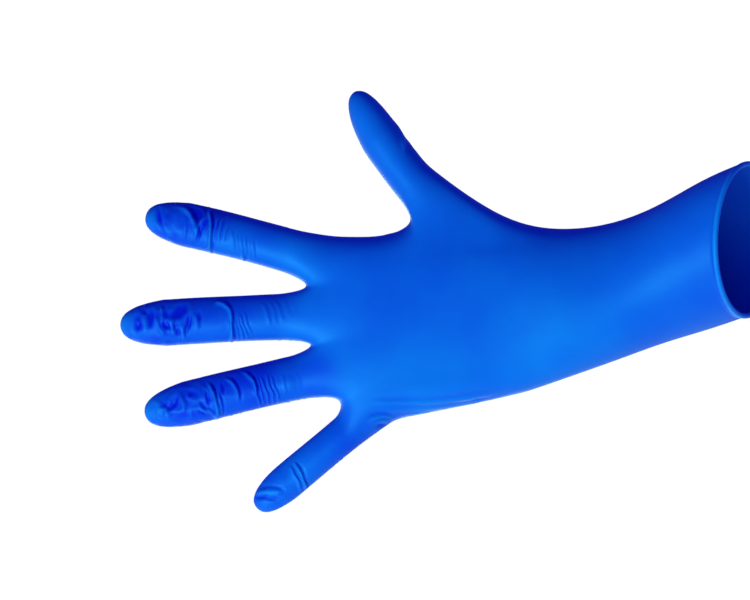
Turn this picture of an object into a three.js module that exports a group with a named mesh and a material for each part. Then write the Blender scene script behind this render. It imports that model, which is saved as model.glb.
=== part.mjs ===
// A disposable nitrile exam glove, for the left side, stretched and spread as it is in use, with its cuff open.
// It is one dipped film: cuff, palm, four fingers and thumb in a single hollow skin, with a bead rolled at its
// rim. Millimetres. The cuff's centre is the origin, the fingers reach along -X, the thumb stands up along +Z,
// and the glove's back faces -Y.
import * as THREE from 'three';

// Driving dimensions
const WALL = 1.0; // the film
const BEAD = 2.4; // thickness of the rolled rim

const SLEEVE_LENGTH = 70.8; // rim to wrist, along X
const CUFF_WIDTH = 62.8;
const CUFF_DEPTH = 52;
const WRIST_WIDTH = 58;
const WRIST_DEPTH = 40;
const CUFF_RISE = 25; // how far the cuff's centre lies above the wrist's, towards the thumb
const CUFF_LEAN = 19; // how far it lies towards the back of the hand
const RIM_TILT = 36; // degrees by which the rim is turned to the back of the hand
const RIM_SLANT = 4; // degrees by which the rim leans towards the fingers at the thumb's side
const RIM_ROLL = 14; // degrees by which the rim's long axis is turned about X, away from the thumb's side

const PALM_LENGTH = 103; // wrist to the fork of the middle and ring fingers
const PALM_WIDTH = 76;
const PALM_DEPTH = 28;
const FORK_DEPTH = 5; // from a fork back to the knuckle ring
const WEB_BULGE = 2.2; // a fork's corner lies this much deeper than the smooth skin that it makes

// root is a share of the way across between the two sides of the finger's root. splay is the angle to -X there,
// and bend and curl are the turns to the tip, in degrees: bend towards the thumb's side, curl towards the palm.
const LITTLE = { length: 58.6, width: 15.2, depth: 14, fold: 0.5, root: 0.34, splay: -39, bend: -2, curl: 8 };
const RING = { length: 76.6, width: 18.6, depth: 16.5, fold: 0.62, root: 0.46, splay: -12.1, bend: -3, curl: 7 };
const MIDDLE = { length: 78.5, width: 19.3, depth: 17, fold: 0.42, root: 0.48, splay: -1.5, bend: -3, curl: 6 };
const INDEX = { length: 72.5, width: 18.4, depth: 16.5, fold: 0.63, root: 0.5, splay: 17.4, bend: -7, curl: 5 };
const FINGERS = [LITTLE, RING, MIDDLE, INDEX];
const THUMB = { length: 75.5, width: 17.2, depth: 20, fold: 0.72, splay: 38.5, bend: 27, curl: 9 };

// The film bunches into a standing fold around each digit, at the share of its length that fold gives,
// and into a long one beside the glove's lower edge.
const FOLD_HEIGHT = 0.9;
const FOLD_REACH = 2.4; // from the fold's crest to its foot
const EDGE_FOLD_HEIGHT = 1.6;
const EDGE_FOLD_STEP = 2; // steps of the skin from the little finger's edge

// Cross-sections of the sleeve, from the rim to the wrist. along is a share of SLEEVE_LENGTH, rise of
// CUFF_RISE, lean of CUFF_LEAN and turn of the rim's angles. width and depth are shares of the size there,
// which goes evenly from the cuff's to the wrist's.
const SLEEVE = [
  { along: 0.0, rise: 1.0, lean: 1.0, turn: 1.0, width: 1.0, depth: 1.0 },
  { along: 0.2, rise: 0.78, lean: 0.66, turn: 0.9, width: 1.005, depth: 1.0 },
  { along: 0.45, rise: 0.46, lean: 0.3, turn: 0.6, width: 0.922, depth: 0.97 },
  { along: 0.7, rise: 0.175, lean: 0.08, turn: 0.3, width: 0.932, depth: 0.97 },
  { along: 1.0, rise: -0.04, lean: 0.0, turn: 0.0, width: 1.03, depth: 1.0 },
];

// Cross-sections from the wrist to the knuckles, each from the little finger's edge (1) to the thumb's (2).
// along is a share of PALM_LENGTH from the wrist, and across of PALM_WIDTH from the wrist's centre. back, palm
// and ball, the thumb's ball, are shares of PALM_DEPTH. fold is a share of EDGE_FOLD_HEIGHT.
const HAND = [
  { along1: 0.09, across1: -0.458, along2: 0.235, across2: 0.43, back: 0.64, palm: 0.74, ball: 0.12, fold: 0 },
  { along1: 0.16, across1: -0.492, along2: 0.32, across2: 0.415, back: 0.6, palm: 0.7, ball: 0.22, fold: 0 },
  { along1: 0.245, across1: -0.52, along2: 0.405, across2: 0.435, back: 0.57, palm: 0.66, ball: 0.24, fold: 0.35 },
  { along1: 0.33, across1: -0.548, along2: 0.49, across2: 0.44, back: 0.55, palm: 0.62, ball: 0.18, fold: 0.7 },
  { along1: 0.42, across1: -0.575, along2: 0.58, across2: 0.44, back: 0.53, palm: 0.58, ball: 0.08, fold: 1 },
  { along1: 0.555, across1: -0.615, along2: 0.715, across2: 0.37, back: 0.5, palm: 0.54, ball: 0, fold: 1 },
  { along1: 0.66, across1: -0.645, along2: 0.84, across2: 0.375, back: 0.48, palm: 0.52, ball: 0, fold: 0.4 },
];

// The fingers' roots, in the same shares: the little finger's edge, the three forks and the index finger's edge
const KNUCKLES = [
  { along: 0.73, across: -0.675 },
  { along: 0.905, across: -0.498 },
  { along: 1.0, across: -0.217 },
  { along: 1.015, across: 0.083 },
  { along: 0.955, across: 0.385 },
];
const KNUCKLE_HEIGHT = 0.42; // share of PALM_DEPTH, on the back and on the palm
const THUMB_ROOT = { along: 0.395, across: 0.385 };

// Cross-sections of a finger and of the thumb, from root to tip: shares of the digit's length, width and depth
const FINGER_SECTIONS = [
  { along: 0.12, width: 0.98, depth: 1.0 },
  { along: 0.35, width: 0.96, depth: 0.96 },
  { along: 0.6, width: 0.98, depth: 0.92 },
  { along: 0.76, width: 0.98, depth: 0.88 },
  { along: 0.88, width: 0.84, depth: 0.76 },
  { along: 0.965, width: 0.54, depth: 0.48 },
];
const THUMB_SECTIONS = [
  { along: 0.37, width: 1.04, depth: 1.02 },
  { along: 0.53, width: 0.99, depth: 0.98 },
  { along: 0.69, width: 1.0, depth: 1.0 },
  { along: 0.84, width: 0.88, depth: 0.88 },
  { along: 0.96, width: 0.54, depth: 0.54 },
];

// How the coarse skin is divided
const PER_FINGER = 3; // steps across each finger's root, on the back and on the palm
const ACROSS = PER_FINGER * FINGERS.length;
const AROUND = 2 * ACROSS;
const THUMB_FIRST_ROW = 0; // the rows of HAND that the thumb's opening reaches
const THUMB_LAST_ROW = 4;
const THUMB_REACH = 2; // steps that it takes on each side of the thumb's edge
const BEAD_STEPS = 5;

const { degToRad, lerp } = THREE.MathUtils;
const wrist = new THREE.Vector3(-SLEEVE_LENGTH, CUFF_LEAN, -CUFF_RISE);
const lengthwise = new THREE.Vector3(1, 0, 0);
const toPalm = new THREE.Vector3(0, 1, 0);

// The cage is a coarse skin of faces with three or four corners. Smoothing it gives the glove's outer surface.
const cage = { points: [], faces: [] };

function addPoint(point) {
  cage.points.push(point);
  return cage.points.length - 1;
}

// A face for each step between two closed loops of points, apart from the steps that are left open.
function band(from, to, isOpen = () => false) {
  return from
    .map((point, i) => [point, from[(i + 1) % from.length], to[(i + 1) % to.length], to[i]])
    .filter((face, i) => !isOpen(i));
}

// A ring with few corners shrinks when it is smoothed, so it starts this much larger.
const swell = (corners) => 3 / (2 + Math.cos((2 * Math.PI) / corners));

// A cross-section from the little finger's edge over the back to the thumb's edge, and home over the palm.
// low and high are those edges, and back and palm reach from the middle to the highest points.
// flatness 0 makes an oval, and 1 a flat section whose steps are as wide as each other.
function sectionLoop(low, high, back, palm, flatness, mound = () => 0) {
  return Array.from({ length: AROUND }, (_, k) => {
    const overBack = k <= ACROSS;
    const share = (overBack ? k : AROUND - k) / ACROSS;
    const q = lerp(-Math.cos(Math.PI * share), 2 * share - 1, flatness);
    const power = 2 + flatness;
    const height = Math.max(0, 1 - Math.abs(q) ** power) ** (1 / power);
    const point = low.clone().lerp(high, (q + 1) / 2);
    return point.addScaledVector(overBack ? back : palm, height * (overBack ? 1 : 1 + mound(q)));
  });
}

function sleeveLoop({ along, rise, lean, turn, width, depth }) {
  const tilt = degToRad(RIM_TILT * turn);
  const slant = degToRad(RIM_SLANT * turn);
  const halfWidth = (swell(AROUND) * lerp(CUFF_WIDTH, WRIST_WIDTH, along) * width) / 2;
  const halfDepth = (swell(AROUND) * lerp(CUFF_DEPTH, WRIST_DEPTH, along) * depth) / 2;
  const centre = new THREE.Vector3(-SLEEVE_LENGTH * along, CUFF_LEAN * (1 - lean), -CUFF_RISE * (1 - rise));
  const across = new THREE.Vector3(-Math.sin(slant), 0, Math.cos(slant)).multiplyScalar(halfWidth);
  const back = new THREE.Vector3(-Math.sin(tilt), -Math.cos(tilt), 0).multiplyScalar(halfDepth);
  for (const radius of [across, back]) radius.applyAxisAngle(lengthwise, degToRad(RIM_ROLL * turn));
  return sectionLoop(centre.clone().sub(across), centre.clone().add(across), back, back.clone().negate(), 0);
}

// A place on the hand's middle plane
const onHand = ({ along, across }) =>
  new THREE.Vector3(-PALM_LENGTH * along, 0, PALM_WIDTH * across).add(wrist);

function handLoop({ along1, across1, along2, across2, back, palm, ball, fold }, row) {
  const flatness = lerp(0.15, 0.9, row / HAND.length);
  const mound = (q) => (ball / palm) * Math.exp(-(((q - 0.45) / 0.4) ** 2));
  const loop = sectionLoop(
    onHand({ along: along1, across: across1 }),
    onHand({ along: along2, across: across2 }),
    toPalm.clone().multiplyScalar(-PALM_DEPTH * back),
    toPalm.clone().multiplyScalar(PALM_DEPTH * palm),
    flatness,
    mound,
  );
  loop[EDGE_FOLD_STEP].addScaledVector(toPalm, -EDGE_FOLD_HEIGHT * fold);
  return loop;
}

// The ring of skin just behind the forks rises a little over each knuckle.
function knuckleLoop() {
  return Array.from({ length: AROUND }, (_, k) => {
    const overBack = k <= ACROSS;
    const step = overBack ? k : AROUND - k;
    const finger = Math.min(Math.floor(step / PER_FINGER), FINGERS.length - 1);
    const share = step / PER_FINGER - finger;
    const q = (2 * step) / ACROSS - 1;
    const height = (1 - Math.abs(q) ** 3) ** (1 / 3) * (0.9 + 0.1 * Math.sin(Math.PI * share));
    const point = onHand(KNUCKLES[finger]).lerp(onHand(KNUCKLES[finger + 1]), share);
    point.addScaledVector(lengthwise, FORK_DEPTH);
    return point.addScaledVector(toPalm, (overBack ? -1 : 1) * KNUCKLE_HEIGHT * PALM_DEPTH * height);
  });
}

// The line through a digit's middle, from its root to its tip
function axisOf(root, { length, splay, bend, curl }) {
  const heading = (share) => {
    const angle = degToRad(splay + bend * share);
    const dip = degToRad(curl * share);
    return new THREE.Vector3(-Math.cos(angle) * Math.cos(dip), Math.sin(dip), Math.sin(angle) * Math.cos(dip));
  };
  const middle = root.clone().addScaledVector(heading(0), length / 2);
  const tip = middle.clone().addScaledVector(heading(1), length / 2);
  return new THREE.QuadraticBezierCurve3(root, middle, tip);
}

// A digit's sections, with three in place of those that its fold covers: a foot, the crest and another foot.
function withFold(sections, { length, fold: crest }) {
  const reach = FOLD_REACH / length;
  const sizeAt = (along, key) => {
    const after = sections.find((section) => section.along >= along);
    const before = sections[sections.indexOf(after) - 1];
    return lerp(before[key], after[key], (along - before.along) / (after.along - before.along));
  };
  const folded = [-reach, 0, reach].map((step) => ({
    along: crest + step,
    width: sizeAt(crest + step, 'width'),
    depth: sizeAt(crest + step, 'depth'),
    stand: step === 0 ? FOLD_HEIGHT : 0,
  }));
  const kept = sections.filter(({ along }) => Math.abs(along - crest) > 2 * reach);
  return [...kept.map((section) => ({ ...section, stand: 0 })), ...folded].sort((a, b) => a.along - b.along);
}

// Rings of points around a digit, each joined to the last, and a point that closes the tip. The base loop
// starts at an angle and runs clockwise: 0 degrees faces the thumb's side, and 90 the glove's back.
function growDigit(base, startAngle, axis, size, sections) {
  const fit = swell(base.length);
  let last = base;
  for (const { along, width, depth, stand } of withFold(sections, size)) {
    const centre = axis.getPointAt(along);
    const side = toPalm.clone().cross(axis.getTangentAt(along)).normalize();
    const back = axis.getTangentAt(along).cross(side).negate();
    const halfWidth = (fit * size.width * width) / 2 + stand;
    const halfDepth = (fit * size.depth * depth) / 2 + stand;
    const ring = base.map((_, i) => {
      const angle = startAngle - (2 * Math.PI * i) / base.length;
      const point = centre.clone().addScaledVector(side, Math.cos(angle) * halfWidth);
      return addPoint(point.addScaledVector(back, Math.sin(angle) * halfDepth));
    });
    cage.faces.push(...band(last, ring));
    last = ring;
  }
  const tip = addPoint(axis.getPointAt(1));
  cage.faces.push(...last.map((point, i) => [point, last[(i + 1) % last.length], tip]));
}

// Sleeve, palm and knuckles: a loop of points for each section, with the thumb's opening left out
const firstOpen = ACROSS - THUMB_REACH;
const lastOpen = ACROSS + THUMB_REACH;
const inOpening = (row, k) =>
  row > THUMB_FIRST_ROW && row < THUMB_LAST_ROW && k > firstOpen && k < lastOpen;
const sleeve = SLEEVE.map((section) => sleeveLoop(section).map(addPoint));
const hand = HAND.map((section, row) =>
  handLoop(section, row).map((point, k) => (inOpening(row, k) ? null : addPoint(point))),
);
const knuckles = knuckleLoop().map(addPoint);
const loops = [...sleeve, ...hand, knuckles];
for (let i = 1; i < loops.length; i++) {
  const row = i - 1 - sleeve.length;
  const besideThumb = row >= THUMB_FIRST_ROW && row < THUMB_LAST_ROW;
  cage.faces.push(...band(loops[i - 1], loops[i], (k) => besideThumb && k >= firstOpen && k < lastOpen));
}

// Each finger grows from its stretch of the knuckle ring and from a corner in each fork beside it.
const forks = KNUCKLES.slice(1, -1).map((fork) =>
  addPoint(onHand(fork).addScaledVector(lengthwise, WEB_BULGE)),
);
FINGERS.forEach((size, n) => {
  const steps = Array.from({ length: PER_FINGER + 1 }, (_, i) => n * PER_FINGER + i);
  const base = steps.map((step) => knuckles[step]);
  if (n < forks.length) base.push(forks[n]);
  for (const step of steps.reverse()) {
    if (step > 0 && step < ACROSS) base.push(knuckles[AROUND - step]);
  }
  if (n > 0) base.push(forks[n - 1]);
  const startAngle = Math.PI - (n > 0 ? (2 * Math.PI) / base.length : 0);
  const root = onHand(KNUCKLES[n]).lerp(onHand(KNUCKLES[n + 1]), size.root);
  growDigit(base, startAngle, axisOf(root, size), size, FINGER_SECTIONS);
});

// The thumb grows from its opening in the upper edge.
const openSteps = Array.from({ length: 2 * THUMB_REACH + 1 }, (_, i) => firstOpen + i);
const openRows = HAND.map((_, row) => row).slice(THUMB_FIRST_ROW + 1, THUMB_LAST_ROW);
const thumbBase = [
  ...openSteps.map((k) => hand[THUMB_LAST_ROW][k]).reverse(),
  ...openRows.map((row) => hand[row][firstOpen]).reverse(),
  ...openSteps.map((k) => hand[THUMB_FIRST_ROW][k]),
  ...openRows.map((row) => hand[row][lastOpen]),
];
growDigit(thumbBase, (5 * Math.PI) / 4, axisOf(onHand(THUMB_ROOT), THUMB), THUMB, THUMB_SECTIONS);

const meanOf = (points) =>
  points.reduce((sum, point) => sum.add(point), new THREE.Vector3()).divideScalar(points.length);

// One step of Catmull and Clark's smoothing. The points keep their numbers, and the new ones follow them.
function smooth({ points, faces }) {
  const centres = faces.map((face) => meanOf(face.map((corner) => points[corner])));
  const edges = new Map();
  const edgeKey = (a, b) => `${Math.min(a, b)} ${Math.max(a, b)}`;
  faces.forEach((face, f) => {
    face.forEach((a, i) => {
      const b = face[(i + 1) % face.length];
      if (!edges.has(edgeKey(a, b))) edges.set(edgeKey(a, b), { ends: [a, b], faces: [] });
      edges.get(edgeKey(a, b)).faces.push(f);
    });
  });
  let count = points.length + faces.length;
  const around = points.map(() => ({ edges: [], faces: [] }));
  for (const edge of edges.values()) {
    edge.number = count++;
    edge.middle = meanOf(edge.ends.map((end) => points[end]));
    edge.isRim = edge.faces.length === 1;
    const beside = edge.isRim ? [] : edge.faces.map((f) => centres[f]);
    edge.point = meanOf([...beside, edge.middle, edge.middle]);
    for (const end of edge.ends) around[end].edges.push(edge);
  }
  faces.forEach((face, f) => face.forEach((corner) => around[corner].faces.push(centres[f])));
  const moved = points.map((point, i) => {
    const rim = around[i].edges.filter((edge) => edge.isRim);
    if (rim.length > 0) return meanOf([point, meanOf(rim.map((edge) => edge.middle))]);
    const n = around[i].faces.length;
    const middles = meanOf(around[i].edges.map((edge) => edge.middle));
    return meanOf(around[i].faces).addScaledVector(middles, 2).addScaledVector(point, n - 3).divideScalar(n);
  });
  const finer = faces.flatMap((face, f) =>
    face.map((corner, i) => {
      const next = face[(i + 1) % face.length];
      const previous = face[(i + face.length - 1) % face.length];
      const ahead = edges.get(edgeKey(corner, next)).number;
      const behind = edges.get(edgeKey(corner, previous)).number;
      return [corner, ahead, points.length + f, behind];
    }),
  );
  return { points: [...moved, ...centres, ...[...edges.values()].map((edge) => edge.point)], faces: finer };
}

// The outward direction of the skin at each point
function normalsOf({ points, faces }) {
  const normals = points.map(() => new THREE.Vector3());
  for (const face of faces) {
    const [a, b, c, d] = face.map((corner) => points[corner]);
    const facing = c.clone().sub(a).cross(d.clone().sub(b));
    for (const corner of face) normals[corner].add(facing);
  }
  return normals.map((normal) => normal.normalize());
}

// The outer skin has the points of one smoothing, moved to where a second one puts them.
const once = smooth(cage);
const outer = { points: smooth(once).points.slice(0, once.points.length), faces: once.faces };
const normals = normalsOf(outer);

// The rim's points in order. Each corner of the cage's first loop is followed by the middle of its edge.
function rimLoop() {
  const next = new Map();
  for (const face of outer.faces) {
    face.forEach((a, i) => next.set(`${a} ${face[(i + 1) % face.length]}`, a));
  }
  const ahead = new Map();
  for (const key of next.keys()) {
    const [a, b] = key.split(' ').map(Number);
    if (!next.has(`${b} ${a}`)) ahead.set(a, b);
  }
  const loop = [sleeve[0][0]];
  while (loop.length < ahead.size) loop.push(ahead.get(loop.at(-1)));
  return loop;
}

const rim = rimLoop();
const points = [...outer.points];
const faces = [...outer.faces];

// The rim is a plane across the cuff. outOfCuff stands on it, and points away from the fingers.
const rimMiddle = meanOf(rim.map((i) => outer.points[i]));
const outOfCuff = outer.points[rim[0]]
  .clone()
  .sub(rimMiddle)
  .cross(outer.points[rim[rim.length / 4]].clone().sub(rimMiddle))
  .normalize();
if (outOfCuff.x < 0) outOfCuff.negate();

// The bead is rolled around the film's edge. Its points run from the outer skin round to the inner skin.
const beadRadius = BEAD / 2;
const beadOffset = Math.sqrt(beadRadius ** 2 - (WALL / 2) ** 2);
const beadStart = -Math.atan2(beadOffset, WALL / 2);
const rimOutward = rim.map((_, i) => {
  const ahead = outer.points[rim[(i + 1) % rim.length]];
  const behind = outer.points[rim[(i + rim.length - 1) % rim.length]];
  const outward = ahead.clone().sub(behind).cross(outOfCuff).normalize();
  return outward.dot(outer.points[rim[i]].clone().sub(rimMiddle)) < 0 ? outward.negate() : outward;
});
rim.forEach((i, order) => normals[i].copy(rimOutward[order]));

// The inner skin lies a wall's thickness inside the outer one, facing inwards.
const innerOf = (i) => outer.points.length + i;
outer.points.forEach((point, i) => points.push(point.clone().addScaledVector(normals[i], -WALL)));
faces.push(...outer.faces.map((face) => face.map(innerOf).reverse()));

let lastRing = rim;
for (let step = 1; step <= BEAD_STEPS; step++) {
  const angle = lerp(beadStart, Math.PI - beadStart, step / BEAD_STEPS);
  const ring = rim.map((i, order) => {
    if (step === BEAD_STEPS) return innerOf(i);
    const middle = outer.points[i].clone().addScaledVector(rimOutward[order], -WALL / 2);
    middle.addScaledVector(outOfCuff, beadOffset + beadRadius * Math.sin(angle));
    points.push(middle.addScaledVector(rimOutward[order], beadRadius * Math.cos(angle)));
    return points.length - 1;
  });
  faces.push(...band(ring, lastRing));
  lastRing = ring;
}

// Each face is cut along its shorter diagonal.
const triangles = faces.flatMap(([a, b, c, d]) => {
  const isShort = points[a].distanceTo(points[c]) < points[b].distanceTo(points[d]);
  return isShort ? [a, b, c, a, c, d] : [a, b, d, b, c, d];
});

const film = new THREE.BufferGeometry();
const positions = points.flatMap((point) => point.toArray());
film.setAttribute('position', new THREE.Float32BufferAttribute(positions, 3));
film.setIndex(triangles);
film.computeVertexNormals();

const nitrile = new THREE.MeshStandardMaterial({ color: '#0a5ae6', roughness: 0.38, metalness: 0 });
const glove = new THREE.Mesh(film, nitrile);
glove.name = 'glove';

const group = new THREE.Group();
group.add(glove);

export default group;
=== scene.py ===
# %% [markdown]
# # A nitrile exam glove
# The real glove is one film of blue nitrile rubber, a tenth of a millimetre thin. A shaped former is dipped
# into the liquid, the film sets on it, its edge is rolled into a bead, and the glove is peeled off.
# Here it keeps the form that it takes in use: stretched smooth over the back, bunched at the finger joints.
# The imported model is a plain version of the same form. It comes in first, as a frame that fixes the size.

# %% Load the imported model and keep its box
import math
import bpy
import numpy as np
from mathutils import Matrix, Vector, noise


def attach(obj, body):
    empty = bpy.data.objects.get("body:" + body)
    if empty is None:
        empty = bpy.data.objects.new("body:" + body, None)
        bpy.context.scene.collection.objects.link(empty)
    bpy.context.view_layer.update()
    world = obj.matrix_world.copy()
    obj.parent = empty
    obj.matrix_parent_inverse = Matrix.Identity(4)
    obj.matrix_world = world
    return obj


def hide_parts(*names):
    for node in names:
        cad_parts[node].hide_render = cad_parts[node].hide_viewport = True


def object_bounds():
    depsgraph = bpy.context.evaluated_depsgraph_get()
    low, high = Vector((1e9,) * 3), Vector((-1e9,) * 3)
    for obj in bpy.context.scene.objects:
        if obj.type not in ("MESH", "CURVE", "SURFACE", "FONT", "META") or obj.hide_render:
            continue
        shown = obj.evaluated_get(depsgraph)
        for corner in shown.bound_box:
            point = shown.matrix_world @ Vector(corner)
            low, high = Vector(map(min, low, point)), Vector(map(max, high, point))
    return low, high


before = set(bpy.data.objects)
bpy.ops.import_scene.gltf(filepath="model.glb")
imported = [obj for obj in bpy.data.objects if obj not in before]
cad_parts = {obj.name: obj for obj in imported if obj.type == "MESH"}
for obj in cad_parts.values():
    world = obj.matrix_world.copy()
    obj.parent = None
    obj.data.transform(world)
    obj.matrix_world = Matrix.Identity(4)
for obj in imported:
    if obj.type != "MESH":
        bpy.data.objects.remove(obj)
cad_low, cad_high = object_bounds()
print("the packed model measures, in mm", [round(1000 * side) for side in cad_high - cad_low])

# %% [markdown]
# ## The camera
# The picture looks straight at the back of the glove, from far enough away that the fingers hardly
# foreshorten. A long lens at 1.2 m does that. The camera could be aimed with a constraint, but a turn of
# 90 degrees about X already points it along +Y, and keeps the uprights upright.

# %% Set the camera in front of the glove's back
CAMERA_PLACE = Vector((-0.148, -1.2, -0.024))
SENSOR = 36
LENS = 144
camera = bpy.data.objects.new("camera", bpy.data.cameras.new("camera"))
camera.location = CAMERA_PLACE
camera.rotation_euler = (math.radians(90), 0, 0)
camera.data.sensor_width = SENSOR
camera.data.lens = LENS
camera.data.clip_end = 50
bpy.context.collection.objects.link(camera)
bpy.context.scene.camera = camera
print("the picture is", round(-1000 * CAMERA_PLACE.y * SENSOR / LENS), "mm wide at the glove")

# %% [markdown]
# ## A coarse cage for the film
# The film could be sculpted, or wrapped over a modelled form. A cage of few points is easier to steer:
# closed loops run round the sleeve and the palm, and the digits grow out of them. A Subdivision Surface
# then rounds the cage, and it needs no seams where the digits join, as a dipped film has none.
# All the sizes are in millimetres until the mesh is made.

# %% Points and faces of the cage
MM = 0.001
PER_FINGER = 3                        # steps across each finger's root, on the back and on the palm
ACROSS = 4 * PER_FINGER               # steps from the little finger's edge to the thumb's edge
AROUND = 2 * ACROSS
cage_points = []
cage_faces = []


def add_point(place):
    """Adds one point to the cage and gives its number."""
    cage_points.append(np.array(place, float))
    return len(cage_points) - 1


def add_band(first, second, left_open=()):
    """Faces between two closed loops of points."""
    for step in range(len(first)):
        if step in left_open:
            continue
        after = (step + 1) % len(first)
        cage_faces.append([first[step], first[after], second[after], second[step]])


def swell(corners):
    """A ring with few corners shrinks when it is smoothed, so it starts this much larger."""
    return 3 / (2 + math.cos(2 * math.pi / corners))


print("each loop of the cage has", AROUND, "points")

# %% [markdown]
# ## One cross-section
# Every loop starts at the little finger's edge, goes over the back to the thumb's edge and comes home over
# the palm. A flatness of 0 gives an oval, as at the cuff. A flatness of 1 gives a flat section with evenly
# spaced points, as at the knuckles, where each finger needs its own three steps.

# %% A loop of points around one cross-section
def section_loop(low, high, back, palm, flatness, mound=None):
    """Points around one section, which bulges by back and by palm between its low and its high edge."""
    loop = []
    for step in range(AROUND):
        over_back = step <= ACROSS
        share = (step if over_back else AROUND - step) / ACROSS
        place = (1 - flatness) * -math.cos(math.pi * share) + flatness * (2 * share - 1)
        power = 2 + flatness
        height = max(0, 1 - abs(place) ** power) ** (1 / power)
        if mound and not over_back:
            height *= 1 + mound(place)
        middle = low + (high - low) * (place + 1) / 2
        loop.append(middle + (back if over_back else palm) * height)
    return loop


print("a cross-section takes", ACROSS, "steps over the back and", ACROSS, "home over the palm")

# %% [markdown]
# ## The sleeve
# From the cuff the film narrows to the wrist, and the sleeve slants, so the cuff lies above the palm.
# A cylinder bent by a modifier would do, but a short table of cross-sections keeps the sizes in sight.
# Each row is a share of the sleeve's length, rise and lean, of the rim's angles, and of width and depth.

# %% Sleeve cross-sections
SLEEVE_LENGTH = 70.8
CUFF_SIZE = np.array([62.8, 52])      # width and depth
WRIST_SIZE = np.array([58, 40])
CUFF_RISE = 25                        # the cuff's centre lies this far above the wrist's
CUFF_LEAN = 19                        # and this far towards the back
RIM_TILT = 36                         # degrees, towards the back
RIM_SLANT = 4                         # degrees, towards the fingers at the thumb's side
RIM_ROLL = 14                         # degrees, about X
SLEEVE = [
    # along, rise, lean, turn, width, depth
    (0.0, 1.0, 1.0, 1.0, 1.0, 1.0),
    (0.2, 0.78, 0.66, 0.9, 1.005, 1.0),
    (0.45, 0.46, 0.3, 0.6, 0.922, 0.97),
    (0.7, 0.175, 0.08, 0.3, 0.932, 0.97),
    (1.0, -0.04, 0.0, 0.0, 1.03, 1.0),
]


def sleeve_loop(along, rise, lean, turn, width, depth):
    tilt = math.radians(RIM_TILT * turn)
    slant = math.radians(RIM_SLANT * turn)
    size = (CUFF_SIZE + (WRIST_SIZE - CUFF_SIZE) * along) * (width, depth) * swell(AROUND) / 2
    centre = np.array([-SLEEVE_LENGTH * along, CUFF_LEAN * (1 - lean), -CUFF_RISE * (1 - rise)])
    across = np.array([-math.sin(slant), 0, math.cos(slant)]) * size[0]
    back = np.array([-math.sin(tilt), -math.cos(tilt), 0]) * size[1]
    roll = np.array(Matrix.Rotation(math.radians(RIM_ROLL * turn), 3, "X"))
    across = roll @ across
    back = roll @ back
    return section_loop(centre - across, centre + across, back, -back, 0)


sleeve = [[add_point(place) for place in sleeve_loop(*row)] for row in SLEEVE]
for first, second in zip(sleeve, sleeve[1:]):
    add_band(first, second)
print("the sleeve has", len(sleeve), "loops over", SLEEVE_LENGTH, "mm")

# %% [markdown]
# ## The palm and the back
# Seven loops widen from the wrist to the knuckles. They fan out, because the thumb's side is further along
# than the little finger's side. The ball of the thumb is a mound on the palm's side, and one point of each
# loop is lifted for the long fold beside the lower edge.

# %% Cross-sections of palm and back, with room left for the thumb
PALM_LENGTH = 103
PALM_WIDTH = 76
PALM_DEPTH = 28
EDGE_FOLD_HEIGHT = 1.6
EDGE_FOLD_STEP = 2                    # the point of each loop that the fold lifts
WRIST_FLATNESS = 0.15
KNUCKLE_FLATNESS = 0.9
BALL_PLACE = 0.45                     # of the thumb, where the palm's middle is 0 and the thumb's edge 1
BALL_REACH = 0.4
HAND = [
    # along and across at the little finger's edge, the same at the thumb's, back, palm, ball, fold
    (0.09, -0.458, 0.235, 0.43, 0.64, 0.74, 0.12, 0.0),
    (0.16, -0.492, 0.32, 0.415, 0.6, 0.7, 0.22, 0.0),
    (0.245, -0.52, 0.405, 0.435, 0.57, 0.66, 0.24, 0.35),
    (0.33, -0.548, 0.49, 0.44, 0.55, 0.62, 0.18, 0.7),
    (0.42, -0.575, 0.58, 0.44, 0.53, 0.58, 0.08, 1.0),
    (0.555, -0.615, 0.715, 0.37, 0.5, 0.54, 0.0, 1.0),
    (0.66, -0.645, 0.84, 0.375, 0.48, 0.52, 0.0, 0.4),
]
THUMB_ROWS = (0, 4)                   # the rows that the thumb's opening reaches
THUMB_REACH = 2                       # steps that it takes on each side of the thumb's edge
wrist = np.array([-SLEEVE_LENGTH, CUFF_LEAN, -CUFF_RISE])
to_palm = np.array([0.0, 1.0, 0.0])


def on_hand(along, across):
    """A place on the middle plane between back and palm."""
    return wrist + (-PALM_LENGTH * along, 0, PALM_WIDTH * across)


def hand_loop(row, along1, across1, along2, across2, back, palm, ball, fold):
    flatness = WRIST_FLATNESS + (KNUCKLE_FLATNESS - WRIST_FLATNESS) * row / len(HAND)

    def mound(place):
        return ball / palm * math.exp(-(((place - BALL_PLACE) / BALL_REACH) ** 2))

    low = on_hand(along1, across1)
    high = on_hand(along2, across2)
    loop = section_loop(low, high, -to_palm * PALM_DEPTH * back, to_palm * PALM_DEPTH * palm, flatness, mound)
    loop[EDGE_FOLD_STEP] = loop[EDGE_FOLD_STEP] - to_palm * EDGE_FOLD_HEIGHT * fold
    return loop


first_open = ACROSS - THUMB_REACH
last_open = ACROSS + THUMB_REACH
hand = []
for row, sizes in enumerate(HAND):
    in_opening = [THUMB_ROWS[0] < row < THUMB_ROWS[1] and first_open < k < last_open for k in range(AROUND)]
    loop = hand_loop(row, *sizes)
    hand.append([None if gone else add_point(place) for place, gone in zip(loop, in_opening)])
print("palm and back have", len(hand), "loops over", PALM_LENGTH, "mm")

# %% [markdown]
# ## The knuckle ring
# Just behind the forks the film rises a little over each knuckle. This ring is shared: every finger takes
# three of its steps on the back, three on the palm, and a corner in the fork on each side.

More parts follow.
